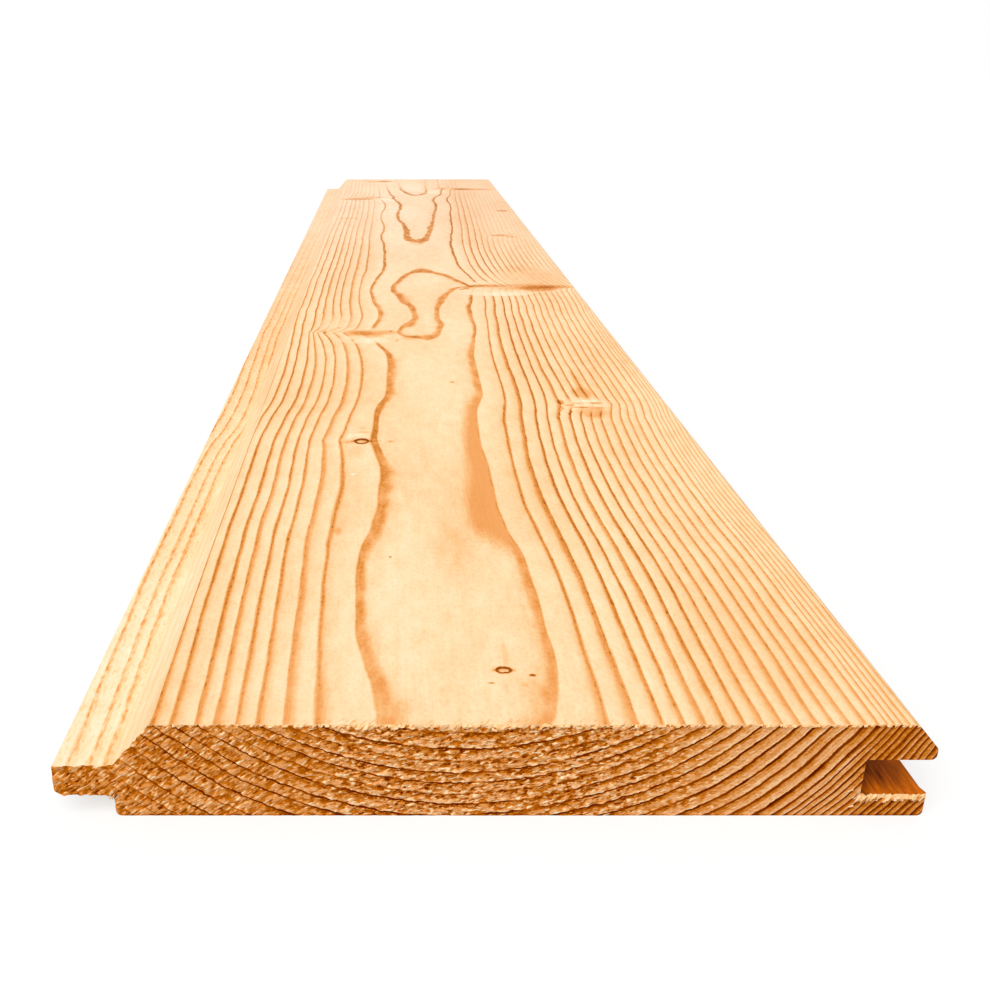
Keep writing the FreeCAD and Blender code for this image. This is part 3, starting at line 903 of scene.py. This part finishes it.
def add_fibre(across_at, station, height, outwards, size):
    """One sliver, pointing out of the end and up to the right."""
    length = luck.uniform(0.5, 1.3) * size
    thickness = luck.uniform(0.06, 0.13) * size
    lean = math.radians(luck.gauss(45, 15))
    reach = math.radians(luck.uniform(0, 35)) * outwards
    bpy.ops.mesh.primitive_cone_add(
        vertices=FIBRE_SIDES, radius1=thickness, radius2=FIBRE_TIP, depth=length,
        location=(across_at, station, height), rotation=(-reach, lean, 0),
    )


# Where the slivers stand: from and to across, height, how many, and their size.
TORN_EDGES = [
    (-56.0 * MM, -25.0 * MM, FACE, 25, 0.9 * MM),
    (-25.0 * MM, 45.0 * MM, FACE, 60, 0.9 * MM),
    (45.0 * MM, LIP_BEVEL_HEAD, FACE, 15, 0.8 * MM),
    (GROOVE_WALL, BACK_LIP_END, GROOVE_FLOOR, 60, 1.2 * MM),
    (GROOVE_WALL - 1.5 * MM, GROOVE_WALL + 1.0 * MM, GROOVE_FLOOR, 12, 1.4 * MM),
    (SHOULDER - 0.8 * MM, SHOULDER + 1.2 * MM, TONGUE_UNDER, 14, 1.0 * MM),
]

# Curls that hang from the groove's corner: middle across and up, length, thickness and lean.
CURLS = [
    (60.9, 3.2, 2.5, 0.24, 212), (61.9, 3.2, 2.3, 0.22, 207), (60.0, 2.0, 1.2, 0.20, 250),
    (62.8, 3.3, 1.7, 0.20, 200), (59.4, 5.1, 1.6, 0.16, 240),
]
bpy.ops.object.select_all(action="DESELECT")
add_fibre(0.0, NEAR, FACE - 0.3 * MM, -1, MM)
fibres = bpy.context.object
fibres.name = "torn_fibres"
bpy.ops.object.transform_apply(location=True, rotation=True, scale=True)
bpy.ops.object.mode_set(mode="EDIT")
for station, outwards in ((NEAR, -1), (FAR, 1)):
    for low, high, height, count, size in TORN_EDGES:
        for _ in range(count):
            place = luck.uniform(low, high)
            drop = luck.uniform(0.0, 0.6) * MM
            add_fibre(place, station, height - drop, outwards, size)
    for across_at, up_at, length, thickness, lean in CURLS:
        bpy.ops.mesh.primitive_cone_add(
            vertices=CURL_SIDES, radius1=thickness * MM, radius2=CURL_TIP, depth=length * MM,
            location=(across_at * MM, station + CURL_PROUD * outwards, BACK + up_at * MM),
            rotation=(0, math.radians(lean), 0),
        )
bpy.ops.object.mode_set(mode="OBJECT")
fibres.data.materials.append(torn_fibre)
bpy.ops.object.shade_smooth()
board.select_set(True)
bpy.context.view_layer.objects.active = board
bpy.ops.object.join()

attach(board, "root")
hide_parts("board")

# Floor
# A plain white table top, wide enough that its edge is never seen. To the camera it glows a little,
# so that it stays white, and it still takes the board's shadow.
FLOOR_SIZE = 12.0
FLOOR_GREY = (0.40, 0.40, 0.40, 1)
FLOOR_GLOW = 0.62
bpy.ops.object.select_all(action="DESELECT")
bpy.ops.mesh.primitive_plane_add(size=FLOOR_SIZE, location=(0, 0, BACK))
floor = bpy.context.object
floor.name = "floor"
white = bpy.data.materials.new("white_table")
white.use_nodes = True
net = Net(white.node_tree)
shader = white.node_tree.nodes["Principled BSDF"]
shader.inputs["Base Color"].default_value = FLOOR_GREY
shader.inputs["Roughness"].default_value = 1.0
shader.inputs["Specular IOR Level"].default_value = 0.0
shader.inputs["Emission Color"].default_value = (1, 1, 1, 1)
rays = white.node_tree.nodes.new("ShaderNodeLightPath")
glow = net.times(rays.outputs["Is Camera Ray"], FLOOR_GLOW)
net.tree.links.new(glow, shader.inputs["Emission Strength"])
floor.data.materials.append(white)

# Studio light
# White walls all round, and one broad soft lamp above the near end.
WALL_LIGHT = 0.50
WALL_WHITE = 1.0
LAMP_STRENGTH = 2.3
LAMP_WIDTH = math.radians(60)
LAMP_TILT = math.radians(42)
LAMP_TURN = math.radians(-24)
world = bpy.data.worlds.new("white_studio")
world.use_nodes = True
net = Net(world.node_tree)
rays = world.node_tree.nodes.new("ShaderNodeLightPath")
seen = net.math("MAXIMUM", rays.outputs["Is Camera Ray"], rays.outputs["Is Glossy Ray"])
seen = net.math("MAXIMUM", seen, rays.outputs["Is Transmission Ray"])
sky = world.node_tree.nodes["Background"]
sky.inputs["Color"].default_value = (1, 1, 1, 1)
net.tree.links.new(net.blend(seen, WALL_LIGHT, WALL_WHITE), sky.inputs["Strength"])
bpy.context.scene.world = world

bpy.ops.object.light_add(type="SUN", location=(0, 0, 2))
lamp = bpy.context.object
lamp.name = "soft_lamp"
lamp.data.energy = LAMP_STRENGTH
lamp.data.angle = LAMP_WIDTH
lamp.rotation_euler = (LAMP_TILT, 0, LAMP_TURN)

# Camera
# Low and close in front of the near end, a little to the left of the middle, looking along the
# board and down on it.
CAMERA_BACK = 152.05 * MM
CAMERA_HEIGHT = 118.8 * MM
CAMERA_ACROSS = -16.8 * MM
CAMERA_TILT = math.radians(21.756)
CAMERA_SHIFT = 0.105
CAMERA_LENS = 40.0
CAMERA_FILM_WIDTH = 36.0
CAMERA_NEAREST = 10 * MM
bpy.ops.object.camera_add(
    location=(CAMERA_ACROSS, NEAR - CAMERA_BACK, BACK + CAMERA_HEIGHT),
    rotation=(SQUARE - CAMERA_TILT, 0, 0),
)
camera = bpy.context.object
camera.data.lens = CAMERA_LENS
camera.data.sensor_width = CAMERA_FILM_WIDTH
camera.data.shift_x = CAMERA_SHIFT
camera.data.clip_start = CAMERA_NEAREST
bpy.context.scene.camera = camera
bpy.context.scene.view_settings.view_transform = "Standard"
